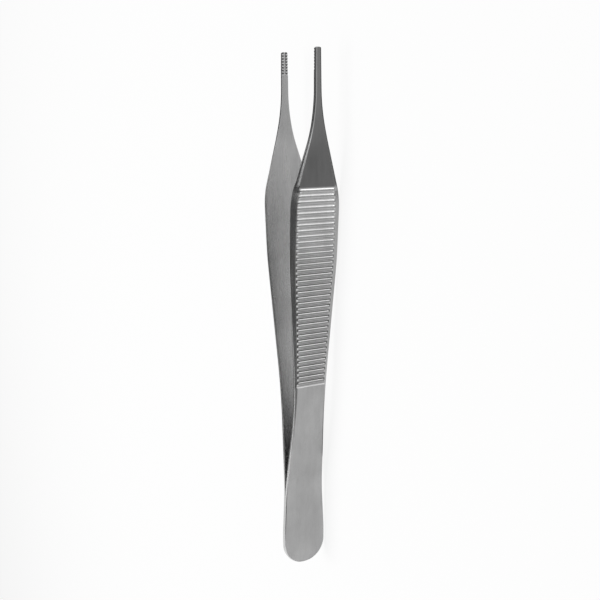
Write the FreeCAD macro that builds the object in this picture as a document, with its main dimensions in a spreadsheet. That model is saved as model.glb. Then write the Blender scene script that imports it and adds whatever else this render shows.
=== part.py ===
"""Thumb forceps: two forged steel arms, welded face to face at the heel.

Millimetres. Each arm is made in its own place with X from the heel to the tip, Y outwards from the
weld and Z across its width, and is then laid down: the front arm is the rear arm turned half a turn
about X. The finished part lies on its side, with +X towards the tips and +Z up.
"""
import FreeCAD
import Part
import Sketcher

import math
import os

V = FreeCAD.Vector

# Driving dimensions: name, value, what it is
SIZES = [
    ("overall_length", 120.0, "heel to tips"),
    # side view, half of the gap between the arms and the bends
    ("weld_bend_at", 19.3, "heel to the corner where the arms part"),
    ("weld_bend_radius", 50.0, "bend that parts the arms"),
    ("grip_bend_at", 42.5, "heel to the corner between spring and grip"),
    ("grip_bend_half_gap", 3.12, "half gap at that corner"),
    ("grip_bend_radius", 240.0, "bend between spring and grip"),
    ("shoulder_bend_at", 102.0, "heel to the corner between grip and tip"),
    ("shoulder_bend_half_gap", 7.46, "half gap at that corner"),
    ("shoulder_bend_radius", 60.0, "bend between grip and tip"),
    ("tip_half_gap", 7.36, "half of the opening between the tips"),
    # thickness of one arm
    ("heel_thickness", 0.65, "one arm at the weld"),
    ("grip_thickness", 1.0, "one arm over its ridges"),
    ("shoulder_thickness", 0.8, "one arm at the shoulder"),
    ("tip_thickness", 0.85, "one arm at its tip"),
    # outline in plan
    ("heel_end_width", 10.4, "heel at its end, before it is rounded"),
    ("heel_end_radius", 5.1, "round of the heel's end"),
    ("heel_side_at", 8.0, "end to the widest part of the heel"),
    ("heel_width", 10.66, "heel at its widest"),
    ("heel_side_radius", 60.0, "sweep of the heel's side"),
    ("waist_at", 42.0, "heel to the waist"),
    ("waist_width", 7.44, "corner of the waist"),
    ("waist_radius", 150.0, "sweep of the waist"),
    ("grip_widest_at", 74.8, "heel to the start of the full grip width"),
    ("grip_width", 12.0, "full width of the grip"),
    ("grip_side_radius", 100.0, "sweep into the full width"),
    ("shoulder_at", 89.0, "heel to the corner where the shoulder tapers"),
    ("shoulder_radius", 20.0, "round of that corner"),
    ("shank_at", 105.5, "heel to the corner between shoulder and shank"),
    ("shank_width", 1.7, "shank at that corner"),
    ("shank_radius", 42.0, "sweep into the shank"),
    ("tip_width", 1.4, "tip"),
    ("tip_round", 0.3, "round of the tip's corners in plan"),
    # bevel along the outer edges, depth at each station
    ("heel_bevel", 0.15, "along the heel"),
    ("grip_bevel", 0.8, "along the grip"),
    ("tip_bevel", 0.25, "along the tip"),
    ("heel_bevel_from", 4.0, "heel to the start of the bevel"),
    ("grip_bevel_from", 84.0, "heel to the full grip bevel"),
    ("tip_bevel_from", 103.0, "heel to the start of the tip's bevel"),
    # ridges across the outside of the grip
    ("ridge_start", 46.0, "heel to the first groove"),
    ("ridge_pitch", 1.25, "groove to groove"),
    ("ridge_count", 36, "grooves on each arm"),
    ("ridge_depth", 0.22, "depth of a groove"),
    ("groove_radius", 0.38, "round cutter of the grooves"),
    # teeth inside the tips
    ("tooth_length", 5.0, "toothed length of each tip"),
    ("tooth_pitch", 0.62, "tooth to tooth"),
    ("tooth_depth", 0.2, "depth of the notches"),
    ("tooth_count", 8, "notches in each tip"),
    ("channel_width", 0.45, "plain channel between the rows of teeth"),
    ("channel_depth", 0.25, "depth of that channel"),
]

# Lean of the bevel's face from the outer face, in degrees
BEVEL_ANGLE = 36.0
BEVEL_STATIONS = 40
MARGIN = 3.0


class Length:
    """A value with the sheet expression that gives it, so that both stay the same."""

    def __init__(self, value, text):
        self.value = float(value)
        self.text = text

    def _join(self, other, sign, value):
        text = other.text if isinstance(other, Length) else repr(other)
        return Length(value, "(%s %s %s)" % (self.text, sign, text))

    def __add__(self, other):
        return self._join(other, "+", self.value + number(other))

    def __sub__(self, other):
        return self._join(other, "-", self.value - number(other))

    def __mul__(self, other):
        return self._join(other, "*", self.value * number(other))

    def __truediv__(self, other):
        return self._join(other, "/", self.value / number(other))


def number(thing):
    return thing.value if isinstance(thing, Length) else float(thing)


NOTHING = Length(0, "0")


def make_sheet(doc):
    """Write the driving dimensions into a spreadsheet and return them by name."""
    sheet = doc.addObject("Spreadsheet::Sheet", "Sizes")
    for row, (name, value, note) in enumerate(SIZES, start=1):
        sheet.set("A%d" % row, name)
        sheet.set("B%d" % row, str(value))
        sheet.set("C%d" % row, note)
        sheet.setAlias("B%d" % row, name)
    doc.recompute()
    return {name: Length(getattr(sheet, name), "Sizes." + name) for name, value, note in SIZES}


def on_line(start, end, at):
    """Height at the distance `at` on the straight line between two corners."""
    return start[1] + (end[1] - start[1]) * ((at - start[0]) / (end[0] - start[0]))


def inner_corners(size):
    """Corners of an arm's inner face in side view: distance from the heel, height, bend radius."""
    return [
        (size["weld_bend_at"], NOTHING, size["weld_bend_radius"]),
        (size["grip_bend_at"], size["grip_bend_half_gap"], size["grip_bend_radius"]),
        (size["shoulder_bend_at"], size["shoulder_bend_half_gap"], size["shoulder_bend_radius"]),
        (size["overall_length"], size["tip_half_gap"], None),
    ]


def ridge_end(size):
    return size["ridge_start"] + size["ridge_pitch"] * size["ridge_count"]


def outer_corners(size):
    """Corners of an arm's outer face in side view, from the tip back to the heel."""
    weld, grip, shoulder, tip = inner_corners(size)
    end = ridge_end(size)
    crest = on_line(grip, shoulder, end) + size["grip_thickness"]
    return [
        (tip[0], tip[1] + size["tip_thickness"], None),
        (shoulder[0], shoulder[1] + size["shoulder_thickness"], shoulder[2]),
        (end, crest - size["ridge_depth"], None),
        (end, crest, None),
        (grip[0], grip[1] + size["grip_thickness"], grip[2]),
        (weld[0], size["heel_thickness"], weld[2]),
    ]


def plan_corners(size):
    """Corners of half of the outline in plan: distance from the heel, half width, round."""
    return [
        (NOTHING, size["heel_end_width"] / 2, size["heel_end_radius"]),
        (size["heel_side_at"], size["heel_width"] / 2, size["heel_side_radius"]),
        (size["waist_at"], size["waist_width"] / 2, size["waist_radius"]),
        (size["grip_widest_at"], size["grip_width"] / 2, size["grip_side_radius"]),
        (size["shoulder_at"], size["grip_width"] / 2, size["shoulder_radius"]),
        (size["shank_at"], size["shank_width"] / 2, size["shank_radius"]),
        (size["overall_length"], size["tip_width"] / 2, size["tip_round"]),
    ]


class Profile:
    """A closed outline of straight lines and tangent arcs, dimensioned at its sharp corners."""

    def __init__(self, sketch, corners):
        self.sketch = sketch
        self.corners = corners
        self.points = [V(number(x), number(y), 0) for x, y, radius in corners]
        self.radii = [0.0 if radius is None else number(radius) for x, y, radius in corners]
        self.draw()

    def tangent_points(self, i):
        """Where the round of corner i starts and ends."""
        here = self.points[i]
        before = (self.points[i - 1] - here).normalize()
        after = (self.points[(i + 1) % len(self.points)] - here).normalize()
        half_turn = (math.pi - before.getAngle(after)) / 2
        reach = self.radii[i] * math.tan(half_turn)
        return here + before * reach, here + after * reach

    def arc(self, i, start, end):
        """The round of corner i, counterclockwise, and which of its ends comes first on the way."""
        here = self.points[i]
        reach = (start - here).Length
        to_centre = ((start + end) / 2 - here).normalize() * math.hypot(reach, self.radii[i])
        crest = here + to_centre - to_centre * (self.radii[i] / to_centre.Length)
        left_turn = (here - start).cross(end - here).z > 0
        if left_turn:
            return Part.Arc(start, crest, end), 1, 2
        return Part.Arc(end, crest, start), 2, 1

    def draw(self):
        sketch = self.sketch
        count = len(self.corners)
        ends = [self.tangent_points(i) if self.radii[i] else (p, p) for i, p in enumerate(self.points)]
        lines = []
        for i in range(count):
            segment = Part.LineSegment(ends[i][1], ends[(i + 1) % count][0])
            lines.append(sketch.addGeometry(segment, False))
        for i in range(count):
            before, after = lines[i - 1], lines[i]
            if self.radii[i]:
                corner = self.round_corner(i, before, after, ends[i])
            else:
                sketch.addConstraint(Sketcher.Constraint("Coincident", before, 2, after, 1))
                corner = after
            self.dimension(i, corner)

    def round_corner(self, i, before, after, ends):
        """Join two lines with a tangent arc and mark the corner that they would meet in."""
        sketch = self.sketch
        curve, first, last = self.arc(i, *ends)
        arc = sketch.addGeometry(curve, False)
        sketch.addConstraint(Sketcher.Constraint("Tangent", before, 2, arc, first))
        sketch.addConstraint(Sketcher.Constraint("Tangent", arc, last, after, 1))
        radius = sketch.addConstraint(Sketcher.Constraint("Radius", arc, self.radii[i]))
        self.bind(radius, "radius_%d" % i, self.corners[i][2])
        corner = sketch.addGeometry(Part.Point(self.points[i]), True)
        sketch.addConstraint(Sketcher.Constraint("PointOnObject", corner, 1, before))
        sketch.addConstraint(Sketcher.Constraint("PointOnObject", corner, 1, after))
        return corner

    def dimension(self, i, geometry):
        """Hold a corner by its distances from the origin, or on an axis where one is zero."""
        for word, axis, value in (("X", -2, self.corners[i][0]), ("Y", -1, self.corners[i][1])):
            if number(value) == 0:
                self.sketch.addConstraint(Sketcher.Constraint("PointOnObject", geometry, 1, axis))
                continue
            held = Sketcher.Constraint("Distance" + word, -1, 1, geometry, 1, number(value))
            self.bind(self.sketch.addConstraint(held), "%s_%d" % (word.lower(), i), value)

    def bind(self, index, name, value):
        self.sketch.renameConstraint(index, name)
        if isinstance(value, Length):
            self.sketch.setExpression("Constraints." + name, value.text)


def origin_plane(body, role):
    for feature in body.Origin.OriginFeatures:
        if feature.Role == role:
            return feature
    raise RuntimeError("no origin plane " + role)


def new_sketch(body, name, role, base=None, turn=None):
    """Add a sketch on one of the body's own planes, moved and turned within it."""
    sketch = body.newObject("Sketcher::SketchObject", name)
    sketch.AttachmentSupport = [(origin_plane(body, role), "")]
    sketch.MapMode = "FlatFace"
    base = base or (0.0, 0.0, 0.0)
    axis, angle = turn or (V(0, 0, 1), 0.0)
    place = FreeCAD.Placement(V(*[number(part) for part in base]), FreeCAD.Rotation(axis, number(angle)))
    sketch.AttachmentOffset = place
    for letter, part in zip("xyz", base):
        if isinstance(part, Length):
            sketch.setExpression("AttachmentOffset.Base." + letter, part.text)
    return sketch


def cut_through(body, sketch, name, length=None):
    """Cut the sketch both ways through the arm, or over a stated width."""
    pocket = body.newObject("PartDesign::Pocket", name)
    pocket.Profile = sketch
    pocket.Midplane = True
    if length is None:
        pocket.Type = "ThroughAll"
    else:
        pocket.Type = "Length"
        pocket.Length = number(length)
        pocket.setExpression("Length", length.text)
    sketch.Visibility = False
    return pocket


def tangent_height(corners, at):
    """Height of a rounded path at a distance from the heel, worked out from its corners."""
    points = [(number(x), number(y), number(r) if r is not None else 0.0) for x, y, r in corners]
    for i in range(1, len(points) - 1):
        x, y, radius = points[i]
        before = math.atan2(y - points[i - 1][1], x - points[i - 1][0])
        after = math.atan2(points[i + 1][1] - y, points[i + 1][0] - x)
        reach = radius * math.tan(abs(after - before) / 2)
        start = x - reach * math.cos(before)
        end = x + reach * math.cos(after)
        if start <= at <= end:
            side = math.copysign(1.0, after - before)
            centre_x = start - side * radius * math.sin(before)
            centre_y = y - reach * math.sin(before) + side * radius * math.cos(before)
            return centre_y - side * math.sqrt(max(radius ** 2 - (at - centre_x) ** 2, 0.0))
    for (x0, y0, r0), (x1, y1, r1) in zip(points, points[1:]):
        if x0 <= at <= x1 and x1 > x0:
            return y0 + (y1 - y0) * (at - x0) / (x1 - x0)
    return points[-1][1] if at > points[-1][0] else points[0][1]


def blend(low, high, share):
    """Smooth step between two values."""
    share = min(max(share, 0.0), 1.0)
    return low + (high - low) * share * share * (3 - 2 * share)


def bevel_depth(size, at):
    """Bevel of the outer edges: fine on the heel, wide on the grip, finer again on the tip."""
    rise = (at - number(size["weld_bend_at"])) / number(size["grip_bevel_from"] - size["weld_bend_at"])
    depth = blend(number(size["heel_bevel"]), number(size["grip_bevel"]), rise)
    fall = (at - number(size["shoulder_at"])) / number(size["tip_bevel_from"] - size["shoulder_at"])
    return blend(depth, number(size["tip_bevel"]), fall)


def bevel_curve(size):
    """The bevel's line, seen along its own slope: outer height, half width and depth together."""
    outer = outer_corners(size)[::-1]
    face = [(NOTHING, size["heel_thickness"], None)] + outer[:2] + outer[4:]
    lean = math.radians(BEVEL_ANGLE)
    length = number(size["overall_length"])
    start = number(size["heel_bevel_from"])
    points = []
    for i in range(BEVEL_STATIONS + 1):
        at = start + (length - start) * i / BEVEL_STATIONS
        height = tangent_height(face, at) - bevel_depth(size, at)
        half_width = tangent_height(plan_corners(size), at)
        points.append(V(at, height * math.cos(lean) + half_width * math.sin(lean), 0))
    curve = Part.BSplineCurve()
    curve.interpolate(points)
    return curve, points[0], points[-1]


def add_blank(body, size):
    """The arm's side view, padded to the full width of the grip."""
    sketch = new_sketch(body, "SideView", "XY_Plane")
    start = [(NOTHING, NOTHING, None)]
    finish = [(NOTHING, size["heel_thickness"], None)]
    Profile(sketch, start + inner_corners(size) + outer_corners(size) + finish)
    pad = body.newObject("PartDesign::Pad", "Blank")
    pad.Profile = sketch
    pad.Midplane = True
    pad.Length = number(size["grip_width"])
    pad.setExpression("Length", size["grip_width"].text)
    sketch.Visibility = False
    return pad


def add_outline(body, size):
    """Trim the blank to the outline in plan, one side first."""
    sketch = new_sketch(body, "PlanView", "XZ_Plane")
    end = size["overall_length"]
    high = size["grip_width"] / 2 + MARGIN
    around = [(end, NOTHING, None), (end + MARGIN, NOTHING, None), (end + MARGIN, high, None),
              (NOTHING - MARGIN, high, None), (NOTHING - MARGIN, NOTHING, None), (NOTHING, NOTHING, None)]
    Profile(sketch, plan_corners(size) + around)
    return cut_through(body, sketch, "Outline")


def add_bevel(body, size):
    """Bevel the outer edge, with the sketch seen along the bevel's own slope."""
    sketch = new_sketch(body, "BevelView", "XY_Plane", turn=(V(1, 0, 0), BEVEL_ANGLE))
    curve, first, last = bevel_curve(size)
    high = number(size["grip_width"]) * 2
    corners = [last, V(last.x + MARGIN, last.y, 0), V(last.x + MARGIN, high, 0), V(first.x - MARGIN, high, 0),
               V(first.x - MARGIN, first.y, 0), first]
    spline = sketch.addGeometry(curve, False)
    sketch.addConstraint(Sketcher.Constraint("Block", spline))
    for start, end in zip(corners, corners[1:]):
        line = sketch.addGeometry(Part.LineSegment(start, end), False)
        sketch.addConstraint(Sketcher.Constraint("Block", line))
    return cut_through(body, sketch, "Bevel")


def mirror_sides(body, cuts):
    mirrored = body.newObject("PartDesign::Mirrored", "OtherSide")
    mirrored.Originals = cuts
    mirrored.MirrorPlane = (origin_plane(body, "XY_Plane"), [""])
    body.Tip = mirrored
    return mirrored


def repeat(body, feature, sketch, name, pitch, count):
    """Repeat a cut along its sketch's own X axis."""
    pattern = body.newObject("PartDesign::LinearPattern", name)
    pattern.Originals = [feature]
    pattern.Direction = (sketch, ["H_Axis"])
    pattern.Mode = "Spacing"
    pattern.Offset = number(pitch)
    pattern.setExpression("Offset", pitch.text)
    pattern.Occurrences = int(number(count))
    pattern.setExpression("Occurrences", count.text)
    body.Tip = pattern
    return pattern


def add_ridges(body, size):
    """Round grooves across the outside of the grip leave ridges between them."""
    weld, grip, shoulder, tip = inner_corners(size)
    slope = math.degrees(math.atan2(number(shoulder[1] - grip[1]), number(shoulder[0] - grip[0])))
    first = size["ridge_start"]
    crest = on_line(grip, shoulder, first) + size["grip_thickness"]
    base = (first, crest, NOTHING)
    sketch = new_sketch(body, "GrooveSection", "XY_Plane", base, (V(0, 0, 1), slope))
    lift = size["groove_radius"] - size["ridge_depth"]
    circle = sketch.addGeometry(Part.Circle(V(0, number(lift), 0), V(0, 0, 1), number(size["groove_radius"])))
    sketch.addConstraint(Sketcher.Constraint("PointOnObject", circle, 3, -2))
    radius = sketch.addConstraint(Sketcher.Constraint("Radius", circle, number(size["groove_radius"])))
    sketch.renameConstraint(radius, "groove_radius")
    sketch.setExpression("Constraints.groove_radius", size["groove_radius"].text)
    height = sketch.addConstraint(Sketcher.Constraint("DistanceY", -1, 1, circle, 3, number(lift)))
    sketch.renameConstraint(height, "lift")
    sketch.setExpression("Constraints.lift", lift.text)
    groove = cut_through(body, sketch, "Groove")
    return repeat(body, groove, sketch, "Ridges", size["ridge_pitch"], size["ridge_count"])


def tip_slope(size):
    """Slope of the tip's inner face, in degrees."""
    weld, grip, shoulder, tip = inner_corners(size)
    return math.degrees(math.atan2(number(tip[1] - shoulder[1]), number(tip[0] - shoulder[0])))


def add_teeth(body, size, shift):
    """Notches across the inside of the tip and a plain channel along it leave two rows of teeth."""
    weld, grip, shoulder, tip = inner_corners(size)
    start = size["overall_length"] - size["tooth_length"]
    height = on_line(shoulder, tip, start)
    slope = tip_slope(size)
    channel_view = new_sketch(body, "ChannelView", "XY_Plane", (start, height, NOTHING), (V(0, 0, 1), slope))
    far = size["tooth_length"] + MARGIN
    deep = size["channel_depth"]
    Profile(channel_view, [(NOTHING, deep, None), (NOTHING, NOTHING - deep, None),
                           (far, NOTHING - deep, None), (far, deep, None)])
    channel = cut_through(body, channel_view, "Channel", size["channel_width"])
    first = start + size["tooth_pitch"] * shift
    notch_base = (first, on_line(shoulder, tip, first), NOTHING)
    notch_view = new_sketch(body, "NotchView", "XY_Plane", notch_base, (V(0, 0, 1), slope))
    half = size["tooth_pitch"] / 2
    deep = size["tooth_depth"]
    Profile(notch_view, [(half, deep, None), (NOTHING, NOTHING, None), (NOTHING, NOTHING - deep, None),
                         (size["tooth_pitch"], NOTHING - deep, None), (size["tooth_pitch"], NOTHING, None)])
    notch = cut_through(body, notch_view, "Notch")
    return channel, repeat(body, notch, notch_view, "Teeth", size["tooth_pitch"], size["tooth_count"])


def make_arm(doc, name, size, turn, tooth_shift):
    """One arm, from its blank to its teeth, laid in its place."""
    body = doc.addObject("PartDesign::Body", name)
    body.Label = name
    add_blank(body, size)
    doc.recompute()
    cuts = [add_outline(body, size), add_bevel(body, size)]
    doc.recompute()
    mirror_sides(body, cuts)
    doc.recompute()
    add_ridges(body, size)
    doc.recompute()
    add_teeth(body, size, tooth_shift)
    base = V(-number(size["overall_length"]) / 2, 0, number(size["grip_width"]) / 2)
    body.Placement = FreeCAD.Placement(base, FreeCAD.Rotation(V(1, 0, 0), turn))
    doc.recompute()
    return body


def check(doc, bodies):
    for thing in doc.Objects:
        if "Invalid" in thing.State or "Error" in thing.State:
            raise RuntimeError("%s failed: %s" % (thing.Name, thing.State))
    for body in bodies:
        shape = body.Shape
        if shape.isNull() or not shape.isValid() or len(shape.Solids) != 1:
            raise RuntimeError("%s is not one valid solid" % body.Label)
        print("%s: %.2f mm3, %d faces" % (body.Label, shape.Volume, len(shape.Faces)))


def main():
    os.makedirs("parts", exist_ok=True)
    doc = FreeCAD.newDocument("thumb_forceps")
    size = make_sheet(doc)
    rear = make_arm(doc, "rear_arm", size, 0.0, 0.0)
    front = make_arm(doc, "front_arm", size, 180.0, 0.5)
    check(doc, [rear, front])
    for body in (rear, front):
        body.Shape.exportStep("parts/%s.step" % body.Label)


main()
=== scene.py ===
import math

import bpy
import numpy as np
from bpy.props import FloatProperty, FloatVectorProperty, IntProperty, PointerProperty
from mathutils import Matrix, Vector


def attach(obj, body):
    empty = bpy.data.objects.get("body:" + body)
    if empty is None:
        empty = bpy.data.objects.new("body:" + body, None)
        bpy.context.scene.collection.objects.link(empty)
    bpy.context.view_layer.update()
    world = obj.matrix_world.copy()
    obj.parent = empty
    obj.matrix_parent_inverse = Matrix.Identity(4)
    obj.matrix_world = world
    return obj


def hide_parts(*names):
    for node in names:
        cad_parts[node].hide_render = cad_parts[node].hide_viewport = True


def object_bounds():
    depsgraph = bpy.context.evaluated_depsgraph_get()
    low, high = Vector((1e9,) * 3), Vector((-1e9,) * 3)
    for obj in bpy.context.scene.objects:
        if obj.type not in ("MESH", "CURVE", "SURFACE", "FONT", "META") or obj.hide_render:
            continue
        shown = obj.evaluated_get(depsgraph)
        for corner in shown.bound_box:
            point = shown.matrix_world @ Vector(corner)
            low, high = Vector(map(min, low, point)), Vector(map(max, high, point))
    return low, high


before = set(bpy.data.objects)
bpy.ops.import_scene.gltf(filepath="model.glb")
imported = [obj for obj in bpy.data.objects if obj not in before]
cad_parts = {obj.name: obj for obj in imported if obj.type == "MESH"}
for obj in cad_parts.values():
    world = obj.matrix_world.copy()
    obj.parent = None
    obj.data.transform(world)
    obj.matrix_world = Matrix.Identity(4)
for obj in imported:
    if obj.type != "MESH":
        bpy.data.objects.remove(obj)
CAD_LOW, CAD_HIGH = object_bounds()
CAD_SIZE = CAD_HIGH - CAD_LOW

bl_info = {
    "name": "Thumb forceps",
    "version": (1, 0, 0),
    "blender": (4, 5, 0),
    "location": "3D View > Sidebar > Forceps",
    "description": "Makes the two ground and satin-finished arms of a pair of thumb forceps, and their stage",
    "category": "Add Mesh",
}

# Lengths of the forceps are in millimetres. Places, and the sizes of the stage, are in metres
MM = 0.001
HEEL_TO_ORIGIN = CAD_SIZE.x / 2 / MM
EDGE_TO_AXIS = CAD_SIZE.z / 2 / MM

# Lean of the bevel from the outer face, and the least fold that is shaded as sharp, in degrees
BEVEL_ANGLE = 36.0
SHARP_ANGLE = 38.0
# Along the ridges the bevel begins at their crests' line, and elsewhere at the face. It changes from one
# to the other over this length
GRIP_EASE = 1.0
# The shoulder's bevel has two facets, which begin over this length on each side of the ridges' end. The
# first one's slope is a share of the whole bevel's. The fold between them lies at a share of its width,
# shifts outwards over the start of the shoulder, and is eased over a share of the width
FACETS_EASE = 0.4
FIRST_FACET_SLOPE = 0.74
FOLD_AT = 0.4
FOLD_SHIFT = 0.22
FOLD_SHIFT_LENGTH = 6.0
FOLD_BLEND = 0.03
# How softly a groove runs into the ridges' crests, as a share of its depth, and how far from its middle
# it reaches at most, as a share of the pitch
GROOVE_BLEND = 1 / 6
GROOVE_REACH = 0.45
# Where a side of the tips' channel starts and ends, as shares of its width from the middle line, and half
# of the length over which the channel starts
CHANNEL_SIDE = (0.45, 0.55)
CHANNEL_EASE = 0.02

# Rows of an arm's grid: spacing, number, and how strongly rows crowd towards a round end
SPRING_ROW = 0.6
STEP_ROW = 0.05
SHOULDER_ROW = 0.45
HEEL_ROWS, HEEL_CROWDING = 26, 2.2
TIP_ROWS, TIP_CROWDING = 14, 1.8
ROWS_PER_TOOTH = 10
# The two rows of the step at the ridges' end lie this far on each side of it
STEP_GAP = 0.001
# Rows over one groove, as shares of the pitch from its middle
GROOVE_ROWS = (-0.5, -0.42, -0.35, -0.29, -0.25, -0.2, -0.14, -0.07,
               0.0, 0.07, 0.14, 0.2, 0.25, 0.29, 0.35, 0.42)
# Columns of an arm's grid, as shares of the edge's round, of the bevel's width, of what is left of the
# outer face, of the inner face's half width, and of a side's height
ROUND_COLUMNS = (0.0, 0.15, 0.5, 1.0)
BEVEL_COLUMNS = (0.4, 0.6, 0.73, 0.82, 0.9, 0.97, 1.04, 1.11, 1.18, 1.26, 1.34, 1.43, 1.53, 1.65, 1.8)
MIDDLE_COLUMNS = (0.85, 0.6, 0.3, 0.0, -0.3, -0.6, -0.85)
INNER_COLUMNS = (0.9, 0.75, 0.6, 0.45, 0.355, 0.29, 0.12)
SIDE_COLUMNS = (0.25, 0.5, 0.75)
# Where fewer bevels than this fit in the half width, the columns lie closer to the edge
LEAST_BEVELS = 2.1
# The widest round of an edge that the columns follow, as a share of the half width
MOST_ROUND = 0.08

# Marks that a mesh carries for its material, each from 0 to 1
MARKS = ("face", "outer", "inside", "groove", "crest", "lip", "flank", "notch", "rim")
# Where the mark of the face starts and is full, as shares of the bevel's width from the edge
FACE_FROM = 0.7
FACE_FULL = 1.1
# Where a ridge's painted lip highlight and painted crest shade lie, as shares of the pitch from the groove's
# middle
LIP_AT = 0.27
LIP_WIDTH = 0.06
CREST_FROM = 0.32
CREST_FULL = 0.45
# Depth at which a groove's wall is marked for painted shade, as shares of the groove's
FLANK_FROM = 0.1
FLANK_FULL = 0.6
# The painted shade of the crests and the groove walls fades between these distances before the ridges' end
FADE_FROM = 20.0
FADE_TO = 3.0
# Share of the crests' painted shade that is left past the fade
LAST_CREST = 0.5
# Distance from the edge in which the painted highlight along the rim fades to about a third, on the outer
# and the inner face
OUTER_RIM = 0.2
INNER_RIM = 0.12
# Mark of the teeth's crests for painted shade, while their notches, painted darkest, are marked 1. It starts
# this far before the teeth, and is full after this length
TOOTH_CREST = 0.45
TOOTH_MARK_LEAD = 0.2
TOOTH_MARK_EASE = 0.3

# X from which the shoulder is smooth, and the shank smooth all round its outside, and both are painted
# darker as shade: start and full
SHOULDER_X = (0.0307, 0.0313)
SHANK_X = (0.038, 0.046)
# Painted shade and light along X, as a change of brightness on the smooth steel and the inner faces: start,
# end, and the change at each
SMOOTH_PAINTED_SHADE = (0.036, 0.048, -0.08, 0.24)
# On the inner faces this painted light is brighter towards the heel
INSIDE_PAINTED_LIGHT = (-0.02, 0.012, 0.12, 0.0)
# Patterns of the finish: waves per millimetre along X, Y and Z, then the noise's detail and roughness
CLOUDS = ((0.09, 0.2, 0.2), 3.0, 0.6)
BRUSH = ((0.6, 14.0, 14.0), 2.0, 0.6)
STREAKS = ((0.05, 1.3, 1.3), 2.0, 0.5)
# Scratches also lean, in radians, and show only where their noise is high: start and full
SCRATCHES = ((0.6, 3.0, 22.0), 1.0, 0.5, (0.0, 0.35, 0.0))
SCRATCH_LEVEL = (0.66, 0.72)
SCRATCH_BUMP_LEVEL = (0.66, 0.74)
# Ranges of a noise and of two marks that are used, and how much each changes the brightness, the roughness
# or the height of the bump
NOISE_RANGE = (0.3, 0.7)
GROOVE_RANGE = (0.1, 1.0)
RIM_RANGE = (0.4, 1.0)
CLOUD_TONE = 0.07
STREAK_TONE = 0.025
BRUSH_TONE = 0.03
# The rim tone is a painted highlight along the edges
RIM_HIGHLIGHT = 0.12
STREAK_ROUGHNESS = 0.03
SCRATCH_ROUGHNESS = -0.08
SCRATCH_BUMP = -0.3
BUMP_DISTANCE = 0.02
ANISOTROPY = 0.3

# Cards that show only in the steel, half a metre away: name, brightness, direction, degrees wide and high.
# A brightness of four numbers is its level towards the heel, its level towards the tips, and the X of each
CARD_DISTANCE = 0.5
CARDS = (
    ("front_card_above", 0.09, (-0.25, -0.79, 0.57), 42, 62),
    ("top_card", 0.05, (0.28, -0.35, 0.89), 50, 40),
    ("back_card", 0.05, (0.02, 0.89, 0.45), 50, 40),
    ("front_tent_below", (0.7, 0.55, -0.33, -0.24), (-0.27, -0.84, -0.45), 60, 60),
    ("tip_side_panel", 2.4, (0.88, 0.16, -0.45), 56, 36),
    ("heel_side_card", 0.3, (-0.87, -0.2, -0.45), 50, 36),
    ("under_card", (0.52, 0.1, -0.04, 0.05), (-0.05, 0.12, -0.99), 62, 62),
)
# A dark card that paints the floor's shade between the arms into the steel's reflections: four such
# numbers, and in millimetres its card's width and how far the card lies above the floor
GAP_SHADE = (0.03, 1.0, -0.034, -0.004)
GAP_SHADE_WIDTH = 9
GAP_SHADE_HEIGHT = 0.05

# Sides of the square floor and lamp
FLOOR_SIZE = 6.0
LAMP_SIZE = 0.6
LAMP_PLACE = (-0.05, 0.1, 0.7)
# The photograph's view: place, the directions of the picture's right and of the camera's back, and the
# lens in millimetres
CAMERA_PLACE = (0.0448, -0.1656, 0.0931)
CAMERA_RIGHT = (-0.00699, -0.46472, -0.88543)
CAMERA_BACK = (0.20799, -0.86680, 0.45330)
CAMERA_LENS = 50.243
WHITE = (1.0, 1.0, 1.0, 1.0)


def length(name, description, default):
    """A length that the sidebar shows, given here in millimetres and kept in metres."""
    return FloatProperty(name=name, description=description, default=default * MM, min=0.0, unit="LENGTH",
                         subtype="DISTANCE", precision=5)


def tone(name, description, grey):
    """A neutral grey that the sidebar shows as a colour."""
    return FloatVectorProperty(name=name, description=description, default=(grey, grey, grey), size=3,
                               subtype="COLOR", min=0.0, max=1.0)


def fraction(name, description, default):
    """A plain number from 0 to 1."""
    return FloatProperty(name=name, description=description, default=default, min=0.0, max=1.0,
                         subtype="FACTOR")


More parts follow.
